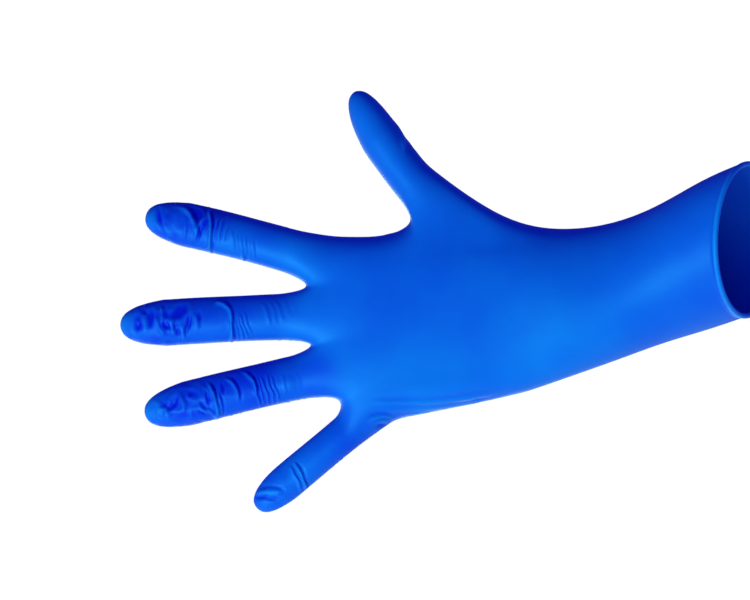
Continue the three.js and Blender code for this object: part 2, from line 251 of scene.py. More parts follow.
# %% Knuckle ring and forks
KNUCKLES = [
    # along, across
    (0.73, -0.675),
    (0.905, -0.498),
    (1.0, -0.217),
    (1.015, 0.083),
    (0.955, 0.385),
]
KNUCKLE_HEIGHT = 0.42                 # share of the palm's depth
KNUCKLE_POWER = 3                     # 2 would make the ring's section round, and this one is flatter
KNUCKLE_DIP = 0.1                     # share of the height that is lost between two knuckles
FORK_DEPTH = 5                        # the ring lies this far behind the places in the table
WEB_BULGE = 2.2                       # and the corners in the forks this far


def knuckle_point(step, over_back):
    finger = min(step // PER_FINGER, len(KNUCKLES) - 2)
    share = step / PER_FINGER - finger
    place = 2 * step / ACROSS - 1
    height = (1 - abs(place) ** KNUCKLE_POWER) ** (1 / KNUCKLE_POWER)
    height *= 1 - KNUCKLE_DIP + KNUCKLE_DIP * math.sin(math.pi * share)
    here = on_hand(*KNUCKLES[finger]) * (1 - share) + on_hand(*KNUCKLES[finger + 1]) * share
    side = -1 if over_back else 1
    return here + (FORK_DEPTH, side * KNUCKLE_HEIGHT * PALM_DEPTH * height, 0)


knuckles = []
for k in range(AROUND):
    over_back = k <= ACROSS
    knuckles.append(add_point(knuckle_point(k if over_back else AROUND - k, over_back)))
forks = [add_point(on_hand(*place) + (WEB_BULGE, 0, 0)) for place in KNUCKLES[1:-1]]

loops = [sleeve[-1], *hand, knuckles]
for row, (first, second) in enumerate(zip(loops, loops[1:])):
    beside_thumb = THUMB_ROWS[0] < row <= THUMB_ROWS[1]
    add_band(first, second, range(first_open, last_open) if beside_thumb else ())
print("the cage has", len(cage_points), "points without its digits")

# %% [markdown]
# ## Growing a digit
# A finger of the glove follows a bent line from the root to the tip. The line is a quadratic curve that
# leaves the root at one angle and reaches the tip at another. Rings of points stand square to it every few
# millimetres. They are closest where fine wrinkles come later, because a wrinkle needs points to move.

# %% The line of a digit, and rings around it
RING_STEP = 4.4
FINE_STEP = 2.4
LINE_POINTS = 201
LOOK_AHEAD = 0.02                     # share of the line over which its heading is measured, each way
TIP_RINGS = 3                         # the last rows of a table of sections are always rings


def ring_places(size, first, last):
    """Shares of a digit's length for its rings, from first to last, closer where its wrinkles are fine."""
    places = [first]
    while places[-1] < last:
        is_fine = size["fine"][0] <= places[-1] <= size["fine"][1]
        places.append(places[-1] + (FINE_STEP if is_fine else RING_STEP) / size["length"])
    return places[:-1]


def digit_line(root, size):
    """Places along the digit's middle, and the share of its length that lies behind each."""

    def heading(share):
        angle = math.radians(size["splay"] + size["bend"] * share)
        dip = math.radians(size["curl"] * share)
        return np.array([-math.cos(angle) * math.cos(dip), math.sin(dip), math.sin(angle) * math.cos(dip)])

    middle = root + heading(0) * size["length"] / 2
    tip = middle + heading(1) * size["length"] / 2
    t = np.linspace(0, 1, LINE_POINTS)[:, None]
    line = root * (1 - t) ** 2 + middle * 2 * t * (1 - t) + tip * t ** 2
    gone = np.concatenate([[0], np.cumsum(np.linalg.norm(np.diff(line, axis=0), axis=1))])
    return line, gone / gone[-1]


def place_at(line, gone, along):
    return np.array([np.interp(along, gone, line[:, axis]) for axis in range(3)])


def heading_at(line, gone, along):
    ahead = place_at(line, gone, min(along + LOOK_AHEAD, 1))
    behind = place_at(line, gone, max(along - LOOK_AHEAD, 0))
    return (ahead - behind) / np.linalg.norm(ahead - behind)


def grow_digit(base, start_angle, root, size, sections):
    """Rings from the base loop to the tip. The base starts at an angle, and runs clockwise."""
    line, gone = digit_line(root, size)
    along, width, depth = np.array(sections).T
    fit = swell(len(base)) / 2
    last = base
    for share in [*ring_places(size, along[0], along[-TIP_RINGS]), *along[-TIP_RINGS:]]:
        centre = place_at(line, gone, share)
        ahead = heading_at(line, gone, share)
        side = np.cross(to_palm, ahead)
        side /= np.linalg.norm(side)
        back = -np.cross(ahead, side)
        half_width = fit * size["width"] * np.interp(share, along, width)
        half_depth = fit * size["depth"] * np.interp(share, along, depth)
        ring = []
        for i in range(len(base)):
            angle = start_angle - 2 * math.pi * i / len(base)
            offset = side * math.cos(angle) * half_width + back * math.sin(angle) * half_depth
            ring.append(add_point(centre + offset))
        add_band(last, ring)
        last = ring
    tip = add_point(place_at(line, gone, 1))
    for i in range(len(last)):
        cage_faces.append([last[i], last[(i + 1) % len(last)], tip])


print("rings stand", RING_STEP, "mm apart, and", FINE_STEP, "mm where wrinkles are fine")

# %% [markdown]
# ## The four fingers
# Each finger's root is measured along the knuckles, and its splay is the angle away from straight ahead.
# One table gives the sections as shares of a finger's own length, width and depth, so that the four have
# one shape.

# %% Fingers
DIGIT_SIZES = ("name", "length", "width", "depth", "root", "splay", "bend", "curl", "fine")
FINGERS = [
    ("little", 58.6, 15.2, 14, 0.34, -39, -2, 8, (0.5, 0.66)),
    ("ring", 76.6, 18.6, 16.5, 0.46, -12.1, -3, 7, (0.2, 0.5)),
    ("middle", 78.5, 19.3, 17, 0.48, -1.5, -3, 6, (0.25, 0.52)),
    ("index", 72.5, 18.4, 16.5, 0.5, 17.4, -7, 5, (0.36, 0.62)),
]
FINGER_SECTIONS = [
    # along, width, depth
    (0.12, 0.98, 1.0),
    (0.35, 0.96, 0.96),
    (0.6, 0.98, 0.92),
    (0.76, 0.98, 0.88),
    (0.88, 0.84, 0.76),
    (0.965, 0.54, 0.48),
]
for n, sizes in enumerate(FINGERS):
    size = dict(zip(DIGIT_SIZES, sizes))
    steps = list(range(n * PER_FINGER, (n + 1) * PER_FINGER + 1))
    base = [knuckles[step] for step in steps]
    if n < len(forks):
        base.append(forks[n])
    base += [knuckles[AROUND - step] for step in reversed(steps) if 0 < step < ACROSS]
    if n > 0:
        base.append(forks[n - 1])
    start_angle = math.pi - (2 * math.pi / len(base) if n > 0 else 0)
    root = on_hand(*KNUCKLES[n]) * (1 - size["root"]) + on_hand(*KNUCKLES[n + 1]) * size["root"]
    grow_digit(base, start_angle, root, size, FINGER_SECTIONS)
    print(size["name"], "finger:", size["length"], "mm from the root's centre to the tip")

# %% [markdown]
# ## The thumb
# The thumb leaves the upper edge of the palm, so its base is a loop that goes once around the opening that
# was left there. It has more corners than a finger's, and they run out along the thumb unchanged.

# %% Thumb
THUMB = dict(length=75.5, width=17.2, depth=20, splay=38.5, bend=27, curl=9, fine=(0.6, 0.7))
THUMB_ROOT = (0.395, 0.385)
THUMB_SECTIONS = [
    # along, width, depth
    (0.37, 1.04, 1.02),
    (0.53, 0.99, 0.98),
    (0.69, 1.0, 1.0),
    (0.84, 0.88, 0.88),
    (0.96, 0.54, 0.54),
]
open_steps = range(first_open, last_open + 1)
open_rows = range(THUMB_ROWS[0] + 1, THUMB_ROWS[1])
thumb_base = [hand[THUMB_ROWS[1]][k] for k in reversed(open_steps)]
thumb_base += [hand[row][first_open] for row in reversed(open_rows)]
thumb_base += [hand[THUMB_ROWS[0]][k] for k in open_steps]
thumb_base += [hand[row][last_open] for row in open_rows]
grow_digit(thumb_base, 5 * math.pi / 4, on_hand(*THUMB_ROOT), THUMB, THUMB_SECTIONS)
print("the whole cage has", len(cage_points), "points and", len(cage_faces), "faces")

# %% [markdown]
# ## From cage to film
# The Subdivision Surface modifier halves every edge and rounds what it gets, at each level once more.
# Level 3 gives the fingers points about half a millimetre apart, enough for the fine folds.
# Its result is read back as arrays of points and faces, so that numpy can press the folds into it.

# %% Smooth the cage
cage_mesh = bpy.data.meshes.new("film_cage")
cage_mesh.from_pydata([Vector(point * MM) for point in cage_points], [], cage_faces)
cage = bpy.data.objects.new("film_cage", cage_mesh)
bpy.context.collection.objects.link(cage)
rounding = cage.modifiers.new("rounding", "SUBSURF")


def smooth_film(levels):
    """Points in mm and four-cornered faces of the cage after that many levels of rounding."""
    rounding.levels = levels
    smoothed = cage.evaluated_get(bpy.context.evaluated_depsgraph_get())
    mesh = smoothed.to_mesh()
    points = np.empty(3 * len(mesh.vertices))
    corners = np.empty(len(mesh.loops), int)
    mesh.vertices.foreach_get("co", points)
    mesh.loops.foreach_get("vertex_index", corners)
    smoothed.to_mesh_clear()
    return points.reshape(-1, 3) / MM, corners.reshape(-1, 4)


def film_normals(points, faces):
    """The outward direction at each point."""
    a, b, c, d = (points[faces[:, i]] for i in range(4))
    facing = np.cross(c - a, d - b)
    normals = np.zeros_like(points)
    for i in range(4):
        np.add.at(normals, faces[:, i], facing)
    return normals / np.linalg.norm(normals, axis=1)[:, None]


OUTER_LEVELS = 3
INNER_LEVELS = 2
outer, outer_faces = smooth_film(OUTER_LEVELS)
inner, inner_faces = smooth_film(INNER_LEVELS)
outward = film_normals(outer, outer_faces)
print("outer side:", len(outer), "points; inner side:", len(inner), "points")

# %% [markdown]
# ## How a fold is pressed in
# Where the film is slack it stands up in thin ridges, each with a trough beside it. Cloth simulation could
# crumple it, but never at the same places twice, and the real glove's folds sit at the joints. So every fold
# is a row in a table: its two ends on the glove as seen from the back, its bow, its width and its height.
# The ridge fades towards its ends, and towards the side of the glove that it isn't on.

# %% The shape of one fold and of one pocket
TROUGH = 0.6                          # depth of the trough beside a ridge, as a share of its height
TROUGH_AWAY = 1.7                     # how far off the trough lies, in widths of the ridge
FADE = 0.3                            # share of a fold's length over which each end fades
FADE_PAST = 0.35                      # the part of that fade that lies past the fold's end
BOWL = 0.85                           # reach of a pocket's bowl, in sizes of the pocket
LIP = 0.25                            # height of the lip around it, as a share of its depth
LIP_AWAY = 1.3                        # how far out the lip stands, in sizes of the pocket
LIP_WIDTH = 0.3
EDGE_FACING = 0.35                    # how far the glove's edges count to either side, before easing
FACING_SLOPE = 0.9


def ease(value):
    """A step from 0 to 1 that starts and ends gently."""
    value = np.clip(value, 0, 1)
    return value * value * (3 - 2 * value)


def facing(normals, side):
    """1 on that side of the glove, 0 on the other, and between them at the edges."""
    return ease(EDGE_FACING + FACING_SLOPE * side * normals[:, 1])


def fold_height(places, x1, z1, x2, z2, bow, width, height):
    """How far one fold lifts the film at each place."""
    start = np.array([x1, z1])
    run = np.array([x2, z2]) - start
    length = np.linalg.norm(run)
    run = run / length
    across = np.array([-run[1], run[0]])
    from_start = places - start
    share = from_start @ run / length
    off = (from_start @ across - bow * 4 * share * (1 - share)) / width
    ridge = np.exp(-(off ** 2)) - TROUGH * np.exp(-((off - TROUGH_AWAY) ** 2))
    fade = ease(np.minimum(share, 1 - share) / FADE + FADE_PAST)
    return height * ridge * fade


def pocket_height(places, x, z, long, short, turn, depth):
    """How far a pocket sinks the film and its lip rises. The turn of its long axis from +X is in degrees."""
    run = np.array([math.cos(math.radians(turn)), math.sin(math.radians(turn))])
    across = np.array([-run[1], run[0]])
    from_middle = places - (x, z)
    reach = np.hypot(from_middle @ run / long, from_middle @ across / short)
    lip = LIP * np.exp(-(((reach - LIP_AWAY) / LIP_WIDTH) ** 2))
    return depth * (lip - np.exp(-((reach / BOWL) ** 2)))


print("a fold is a ridge with a trough of", TROUGH, "of its height beside it")

# %% [markdown]
# ## Folds of the index finger
# The tip is crumpled by an arc and short ridges with pockets between them. A sharp ring stands behind the
# last joint, with finer lines at its foot. Each row is read off the picture, in mm on the glove.

# %% Index finger
INDEX_FOLDS = [
    # x1, z1, x2, z2, bow, width, height
    (-233.6, 7, -230.4, 1.2, -0.4, 0.9, 0.4),
    (-228.4, 14.3, -220.6, 1, 2.9, 1.0, 0.95),
    (-225.4, 7.6, -225.8, 0.5, 1.0, 0.8, 0.3),
    (-216.6, 9.8, -220.4, 3.4, -0.4, 0.7, 0.7),
    (-215.2, 13.5, -214.9, -5, 0.4, 0.6, 1.3),
    (-210.6, 10.3, -213.4, -1.3, -1.1, 0.5, 0.55),
    (-208.7, 9.6, -211.2, 0.6, -0.8, 0.5, 0.5),
    (-206.8, 7.4, -209.0, 0, -0.6, 0.5, 0.35),
    (-202.0, -5.2, -201.0, -8.6, 0.2, 0.6, 0.6),
]
INDEX_POCKETS = [
    # x, z, long, short, turn, depth
    (-235.7, 9.3, 4.6, 1.0, 99, 0.9),
    (-231.5, 9.5, 3.0, 2.0, 70, 0.3),
    (-220.3, 11.0, 3.2, 2.0, 140, 0.9),
    (-219.3, 2.6, 3.6, 0.9, 80, 0.8),
]
print(len(INDEX_FOLDS), "folds on the index finger")

# %% [markdown]
# ## Folds of the middle finger
# Its tip is the most crumpled one, with pockets all over it and slanting ridges between them. Behind them
# stands a sharp ring, and fine lines fan out from its foot.

# %% Middle finger
MIDDLE_FOLDS = [
    # x1, z1, x2, z2, bow, width, height
    (-242.2, -30.2, -241.2, -37.2, 0.4, 0.85, 0.55),
    (-234.6, -26.6, -234.2, -31.4, 0.3, 0.8, 0.45),
    (-236.8, -31.2, -233.2, -38.2, -0.4, 0.8, 0.5),
    (-230.6, -31.6, -229.8, -38.2, 0.3, 0.8, 0.7),
    (-225.8, -34.2, -225.6, -39.8, -0.2, 0.7, 0.6),
    (-221.0, -30, -220.0, -35.4, 0.3, 0.7, 0.5),
    (-212.6, -25, -206.6, -28.6, 1.2, 0.7, 0.9),
    (-206.7, -27.5, -206.1, -42, 0.5, 0.65, 1.25),
    (-205.0, -28.6, -203.8, -39.4, 0.2, 0.45, 0.5),
    (-204.2, -28.8, -201.7, -39.8, 0.3, 0.45, 0.45),
    (-203.2, -29, -199.8, -39.4, 0.3, 0.45, 0.4),
    (-201.4, -29.4, -198.0, -38.6, 0.3, 0.5, 0.25),
]
MIDDLE_POCKETS = [
    # x, z, long, short, turn, depth
    (-244.6, -33.9, 4.2, 1.6, 84, 0.9),
    (-242.2, -28.6, 2.4, 1.1, 140, 0.6),
    (-238.8, -31.4, 3.5, 1.4, 84, 0.95),
    (-232.3, -34.2, 2.5, 1.4, 118, 0.95),
    (-227.0, -28.8, 3.9, 2.4, 42, 0.75),
    (-227.7, -37.0, 2.0, 0.8, 86, 0.65),
    (-223.5, -33.8, 4.2, 1.1, 76, 0.9),
    (-219.2, -30.6, 2.2, 0.7, 90, 0.5),
]
print(len(MIDDLE_FOLDS), "folds on the middle finger")

# %% [markdown]
# ## Folds of the ring finger
# One deep pocket lies at the tip. The ring behind it is doubled, and two pleats run into its foot at the
# finger's lower edge. Two arcs follow, then the slanted lines over the joint.

# %% Ring finger
RING_FOLDS = [
    # x1, z1, x2, z2, bow, width, height
    (-236.8, -64.4, -235.4, -71, 0.4, 0.8, 0.5),
    (-234.8, -67.2, -231.6, -72.4, 0.4, 0.85, 0.75),
    (-227.2, -62.6, -225.6, -69.4, 0.6, 0.9, 0.4),
    (-219.6, -66.6, -215.8, -69.8, -0.3, 0.8, 0.7),
    (-216.0, -68, -212.6, -71.2, -0.2, 0.55, 0.6),
    (-215.6, -57.6, -212.0, -73, 1.3, 0.6, 1.25),
    (-211.6, -61.4, -210.8, -72.6, 0.8, 0.5, 0.95),
    (-208.4, -55.8, -203.2, -64.6, 1.6, 0.7, 0.8),
    (-201.8, -53.2, -196.0, -62.4, 1.7, 0.7, 0.7),
]
RING_POCKETS = [
    # x, z, long, short, turn, depth
    (-229.9, -65.8, 3.5, 1.6, 62, 1.0),
    (-233.6, -66.3, 1.7, 0.9, 80, 0.6),
    (-222.6, -62.0, 1.6, 1.1, 60, 0.5),
    (-215.8, -63.8, 3.4, 0.8, 108, 0.9),
    (-235.3, -71.2, 1.4, 0.6, 90, 0.45),
    (-218.2, -69.9, 2.2, 0.8, 145, 0.5),
    (-209.6, -59.6, 2.4, 0.9, 104, 0.6),
    (-183.0, -58.4, 3.4, 3.0, 0, -0.3),
]
print(len(RING_FOLDS), "folds on the ring finger")

# %% [markdown]
# ## Folds of the little finger, the thumb and the lower edge
# The little finger has one long fold at the tip and two short ones behind the last joint. The thumb has two
# faint lines on its joint. Where the little finger meets the palm, the film bunches and long folds run
# towards the wrist. A fold with a height below 0 is a groove.

# %% Little finger, thumb and lower edge
LITTLE_FOLDS = [
    # x1, z1, x2, z2, bow, width, height
    (-196.8, -104, -186.4, -104.8, 0.3, 0.9, -0.8),
    (-194.8, -101.4, -184.8, -102, 0.3, 0.9, 0.6),
    (-180.6, -90.2, -176, -100.8, 0.6, 0.6, 0.8),
    (-182.4, -91.6, -178.2, -101.2, 0.6, 0.55, 0.6),
]
LITTLE_POCKETS = [
    # x, z, long, short, turn, depth
    (-185.6, -102.2, 1.8, 1.2, 40, 0.4),
]
THUMB_FOLDS = [
    # x1, z1, x2, z2, bow, width, height
    (-141.3, 53, -136, 36, 1.0, 0.9, 0.5),
    (-138.6, 50.8, -134.4, 41, 0.6, 0.8, 0.4),
]
EDGE_FOLDS = [
    # x1, z1, x2, z2, bow, width, height
    (-150.6, -73.4, -141.4, -71.6, 1.5, 0.7, 0.75),
    (-148.8, -74.6, -142.6, -73.0, 1.0, 0.5, 0.65),
    (-146.8, -65.4, -99.8, -61.9, -1.6, 1.0, 0.5),
    (-142.8, -68, -95.8, -63.6, -1.8, 1.0, 0.55),
    (-137.8, -70.4, -104.8, -65.8, -1.4, 0.9, 0.4),
]
EDGE_POCKETS = [
    # x, z, long, short, turn, depth
    (-145.4, -74.8, 2.2, 0.7, 15, 0.9),
]
back_folds = [*INDEX_FOLDS, *MIDDLE_FOLDS, *RING_FOLDS, *LITTLE_FOLDS, *THUMB_FOLDS, *EDGE_FOLDS]
back_pockets = [*INDEX_POCKETS, *MIDDLE_POCKETS, *RING_POCKETS, *LITTLE_POCKETS, *EDGE_POCKETS]
print(len(back_folds), "folds and", len(back_pockets), "pockets on the back")

# %% [markdown]
# ## Fine lines over the joints
# A joint bunches the film into a group of thin lines. A row gives the first line and the step to the next.
# The lines of a group differ a little in place and height, by a sine of their number, so they don't look
# combed. On the palm's side the joints, the wrist and the ball of the thumb have a few lines too.

# %% Groups of fine lines
BACK_GROUPS = [
    # x1, z1, x2, z2, step in x, step in z, lines, bow, width, height
    (-205.8, 4, -205.3, -4, 1.65, -0.9, 6, 0.3, 0.45, 0.32),
    (-193.6, -25.6, -190.4, -33.4, 2.6, 0.5, 5, 0.4, 0.6, 0.26),
    (-197.8, -55.6, -194.8, -66.6, 1.85, 0.4, 5, 0.5, 0.45, 0.5),
    (-186.2, -54.4, -184.6, -62.6, 6.0, 0.9, 2, 0.8, 0.6, 0.22),
]
PALM_GROUPS = [
    # x1, z1, x2, z2, step in x, step in z, lines, bow, width, height
    (-212.3, 12, -210.8, -4, 1.7, -0.4, 3, 0.3, 0.7, 0.7),
    (-190.3, 6.5, -188.8, -10, 2.0, -0.4, 4, 0.4, 0.8, 0.85),
    (-210.8, -24.6, -210.8, -41, 1.8, 0.0, 3, 0.3, 0.7, 0.7),
    (-186.8, -24.5, -186.8, -42.5, 2.1, 0.0, 4, 0.4, 0.8, 0.85),
    (-209.8, -55, -205.8, -73, 1.8, 0.5, 3, 0.3, 0.7, 0.7),
    (-186.8, -50, -182.8, -67.5, 2.1, 0.5, 4, 0.4, 0.8, 0.85),
    (-182.3, -91, -177.8, -102, 1.5, 1.3, 3, 0.3, 0.6, 0.6),
    (-169.8, -81, -164.8, -93, 1.8, 1.4, 3, 0.4, 0.7, 0.7),
    (-139.8, 50, -132.8, 37, 1.8, -2.0, 3, 0.5, 0.7, 0.65),
    (-146.0, 4, -114.0, -12, 4.0, -5.0, 3, 1.6, 1.2, 0.5),
    (-80.8, -2, -77.8, -46, 3.2, 1.2, 3, 1.2, 1.0, 0.6),
]
LINE_STAGGER = 0.15                   # how far a line of a group strays from its even place
LINE_REACH = 0.8                      # how far its ends stray along it
LINE_HEIGHT = 0.85                    # mean height of a group's lines, as a share of the stated one
LINE_SWING = 0.25                     # how far they differ from that mean


def group_folds(groups):
    folds = []
    for x1, z1, x2, z2, step_x, step_z, lines, bow, width, height in groups:
        for n in range(lines):
            dx = n * step_x + LINE_STAGGER * math.sin(5 * n)
            dz = n * step_z
            reach = LINE_REACH * math.sin(3 * n)
            share = LINE_HEIGHT + LINE_SWING * math.sin(4 * n + 1)
            folds.append((x1 + dx, z1 + dz + reach, x2 + dx, z2 + dz + reach, bow, width, height * share))
    return folds


back_folds += group_folds(BACK_GROUPS)
palm_folds = group_folds(PALM_GROUPS)
print(len(back_folds), "folds on the back with the fine lines,", len(palm_folds), "on the palm's side")

# %% [markdown]
# ## Slack film
# At the fingertips the film is loose, so it also crumples at random. Noise folded at zero gives shallow
# pockets with sharp creases between them. The same kind of noise makes the lines of the folds waver.

# %% Crumpling and wavering
SLACK = [
    # x, z, reach, depth
    (-227.8, 5, 15, 0.5),
    (-234.8, -33, 17, 0.6),
    (-224.8, -66, 18, 0.6),
    (-190.8, -101, 11, 0.4),
    (-205.8, -61, 12, 0.25),
    (-204.8, -33, 10, 0.2),
    (-204.8, 1, 9, 0.2),
]
SLACK_FADE = 1.25                     # a slack place ends at this many times its reach
SLACK_LEAST = 0.01                    # film with less slack than this isn't crumpled
CRUMPLE_SIZE = 4.6
CRUMPLE_POWER = 0.8                   # below 1 makes the pockets steeper towards their creases
WAVER = 0.55
WAVER_SIZE = 4
WAVER_SHIFT = Vector((31, 17, 5))     # between the noise for X and the noise for Z


def slack_at(points):
    """How slack the film is at each point, 0 where it is taut."""
    slack = np.zeros(len(points))
    for x, z, reach, depth in SLACK:
        away = np.hypot(points[:, 0] - x, points[:, 2] - z)
        slack = np.maximum(slack, depth * ease(SLACK_FADE - away / reach))
    return slack


def crumple(points):
    """Pockets between sharp creases, where the film is slack."""
    slack = slack_at(points)
    pockets = np.zeros(len(points))
    for i in np.flatnonzero(slack > SLACK_LEAST):
        pockets[i] = abs(noise.noise(Vector(points[i]) / CRUMPLE_SIZE)) ** CRUMPLE_POWER
    return -slack * pockets


def wavering(points):
    """The places in X and Z at which the folds are looked up."""
    seeds = [Vector(point) / WAVER_SIZE for point in points]
    shifts = [(noise.noise(seed), noise.noise(seed + WAVER_SHIFT)) for seed in seeds]
    return points[:, [0, 2]] + WAVER * np.array(shifts)


print("slack film reaches", np.count_nonzero(slack_at(outer)), "points of the outer side")

# %% [markdown]
# ## Pressing the folds in
# Each point of the film moves along its own normal by the sum of all folds and pockets at its place. A
# Displace modifier with a painted image could do the same, but the tables stay exact however finely the film
# is divided. Folds of the back fade out round the edges before they reach the palm, and the other way round.

# %% Press the folds into the outer side
def fold_film(points, normals):
    """How far each point moves along its normal."""
    places = wavering(points)
    back = crumple(points)
    for fold in back_folds:
        back += fold_height(places, *fold)
    for pocket in back_pockets:
        back += pocket_height(places, *pocket)
    palm = np.zeros(len(points))
    for fold in palm_folds:
        palm += fold_height(places, *fold)
    return back * facing(normals, -1) + palm * facing(normals, 1)


lift = fold_film(outer, outward)
smooth_outer = outer
outer = outer + outward * lift[:, None]
print("the folds move the film by", round(lift.min(), 2), "to", round(lift.max(), 2), "mm")

# %% [markdown]
# ## Taut and slack film, with painted light and shade
# Nitrile turns paler where it is stretched thin, and stays deep blue where it is slack. The same number also
# holds painted light and shade: pockets and troughs are painted darker and ridges paler, the fingertips' left
# edges get a painted rim of light, low on the back and the wrist is painted lighter as if lit from below, and
# the back's middle and the sleeve by the rim are painted darker as shade. That is kept with the mesh as one
# number for each point, from 0 for slack or shaded to 1 for taut or lit, and the material turns it into
# colour.
# Painting an image would do it too, but a short table follows the form by itself.

# %% How taut the film is, and where light and shade are painted
TAUT_LIGHT_AND_SHADE = [
    # x, z, reach, amount
    # painted highlight: a rim of light along the left edge of each fingertip
    (-241.5, 8, 7, 0.25),
    (-252.0, -33, 7, 0.25),
    (-242.0, -68, 7, 0.2),
    # slack film at the tips, the joints and the lower edge, painted darker also as the shade in its pockets
    # and folds
    (-231.8, 5, 20, -0.2),
    (-214.8, 9, 14, -0.16),
    (-213.0, 11, 9, -0.14),
    (-193.8, 8, 16, -0.1),
    (-234.8, -30, 22, -0.24),
    (-210.8, -28, 16, -0.24),
    (-192.0, -27, 14, -0.14),
    (-224.8, -65, 20, -0.22),
    (-198.8, -57, 20, -0.34),
    (-172.0, -55, 13, -0.28),
    (-190.8, -102, 14, -0.12),
    (-166.0, -84, 13, -0.16),
    (-157.0, -77, 12, -0.14),
    (-141.0, -69, 12, -0.1),
    # painted shade on the back's middle, painted light low on the back and on the wrist as if lit from below,
    # painted shade by the rim
    (-138.8, -18, 38, -0.08),
    (-125.8, -52, 26, 0.14),
    (-74.8, -46, 30, 0.16),
    (-14.0, -12, 24, -0.12),
]
TAUT_LIGHT_AND_SHADE_FADE = 1.2                       # a row's amount ends at this many times its reach
EVEN_TAUTNESS = 0.5                   # where nothing is slack, stretched or folded
# painted light and shade: each mm of a ridge's height paints the film paler, each mm of a trough's or
# pocket's depth darker
LIFT_LIGHT_AND_SHADE_SHARE = 0.31                     # what each mm of a fold's height adds


# How taut the film is, plus painted light and shade from the table and from the folds' lift.
def tautness_light_and_shade(points, lift):
    taut = EVEN_TAUTNESS + LIFT_LIGHT_AND_SHADE_SHARE * lift
    for x, z, reach, amount in TAUT_LIGHT_AND_SHADE:
        away = np.hypot(points[:, 0] - x, points[:, 2] - z)
        taut = taut + amount * ease(TAUT_LIGHT_AND_SHADE_FADE - away / reach)
    return np.clip(taut, 0, 1)


outer_taut_light_and_shade = tautness_light_and_shade(smooth_outer, lift)
print("tautness runs from", round(outer_taut_light_and_shade.min(), 2), "to", round(outer_taut_light_and_shade.max(), 2))

# %% [markdown]
# ## The inner side
# The inner side shows through the open cuff. A Solidify modifier could make it, but the fine wrinkles would
# double the mesh where nobody looks. So a coarser copy of the same film is pushed inwards instead. It
# follows the hollows but not the ridges, and the wall is thicker than the real film, so that the two sides
# stay apart everywhere.

# %% The inner side
FILM = 1.0                            # the wall between the two sides
inner_normals = film_normals(inner, inner_faces)
inner_lift = np.minimum(fold_film(inner, inner_normals), 0)
inner_taut_light_and_shade = tautness_light_and_shade(inner, inner_lift)
inner = inner + inner_normals * (inner_lift - FILM)[:, None]
print("the inner side lies", FILM, "mm inside the outer one")

# %% [markdown]
# ## The rolled bead
# While the film is still wet, a brush rolls its edge up into a thin bead, which keeps the cuff from tearing
# and helps to pull the glove on. A bent torus would be a separate part that only touches the film. Here the
# open edge of the outer side is carried round a small circle in ten rings, so bead and film are one surface.

# %% The open edge of the cuff
def rim_of(points, faces):
    """The points of the open edge in order around the cuff, its middle, and the axis of its opening."""
    edges = np.concatenate([faces[:, [i, (i + 1) % 4]] for i in range(4)])
    keys, counts = np.unique(np.sort(edges, axis=1), axis=0, return_counts=True)
    on_rim = np.unique(keys[counts == 1])
    middle = points[on_rim].mean(axis=0)
    _, _, axes = np.linalg.svd(points[on_rim] - middle)
    flat = (points[on_rim] - middle) @ axes[:2].T
    return on_rim[np.argsort(np.arctan2(flat[:, 1], flat[:, 0]))], middle, axes[2]


rim, rim_middle, out_of_cuff = rim_of(outer, outer_faces)
if out_of_cuff[0] < 0:
    out_of_cuff = -out_of_cuff
rim_points = outer[rim]
rim_run = np.roll(rim_points, -1, axis=0) - np.roll(rim_points, 1, axis=0)
rim_outward = np.cross(rim_run, out_of_cuff)
rim_outward /= np.linalg.norm(rim_outward, axis=1)[:, None]
if np.sum(rim_outward * (rim_points - rim_middle)) < 0:
    rim_outward = -rim_outward
print("the cuff opening is", round(float(np.ptp(rim_points[:, 2]))), "mm high and has", len(rim), "points")

# %% Roll the bead
BEAD = 2.2                            # thickness of the bead
BEAD_STEPS = 10
# The bead's pale tone is partly its tight roll and partly a painted highlight along the roll.
BEAD_TAUT_AND_HIGHLIGHT = 0.85                  # the bead is rolled tight, so it looks pale
bead_radius = BEAD / 2
bead_offset = math.sqrt(bead_radius ** 2 - (FILM / 2) ** 2)
bead_start = -math.atan2(bead_offset, FILM / 2)
bead_points = []
bead_faces = []
bead_first = len(outer) + len(inner)
last_ring = list(rim)
for step in range(1, BEAD_STEPS + 1):
    angle = bead_start + (math.pi - 2 * bead_start) * step / BEAD_STEPS
    middle = rim_points - rim_outward * FILM / 2 + out_of_cuff * (bead_offset + bead_radius * math.sin(angle))
    ring_points = middle + rim_outward * bead_radius * math.cos(angle)
    ring = [bead_first + len(bead_points) + i for i in range(len(rim))]
    bead_points.extend(ring_points)
    for i in range(len(rim)):
        after = (i + 1) % len(rim)
        bead_faces.append([last_ring[i], last_ring[after], ring[after], ring[i]])
    last_ring = ring
bead_points = np.array(bead_points)
bead_faces = np.array(bead_faces)
bead_taut_and_highlight = np.full(len(bead_points), BEAD_TAUT_AND_HIGHLIGHT)
print("the bead is", BEAD, "mm thick and has", len(bead_faces), "faces")

# %% [markdown]
# ## One object for the film
# Outer side, inner side and bead become one mesh, because the real glove is one piece. The inner side takes
# the second material slot, and the number for how taut the film is, with its painted light and shade, goes
# along as an attribute of the points. The object then rides on the frame's root and takes the place of the
# imported glove.

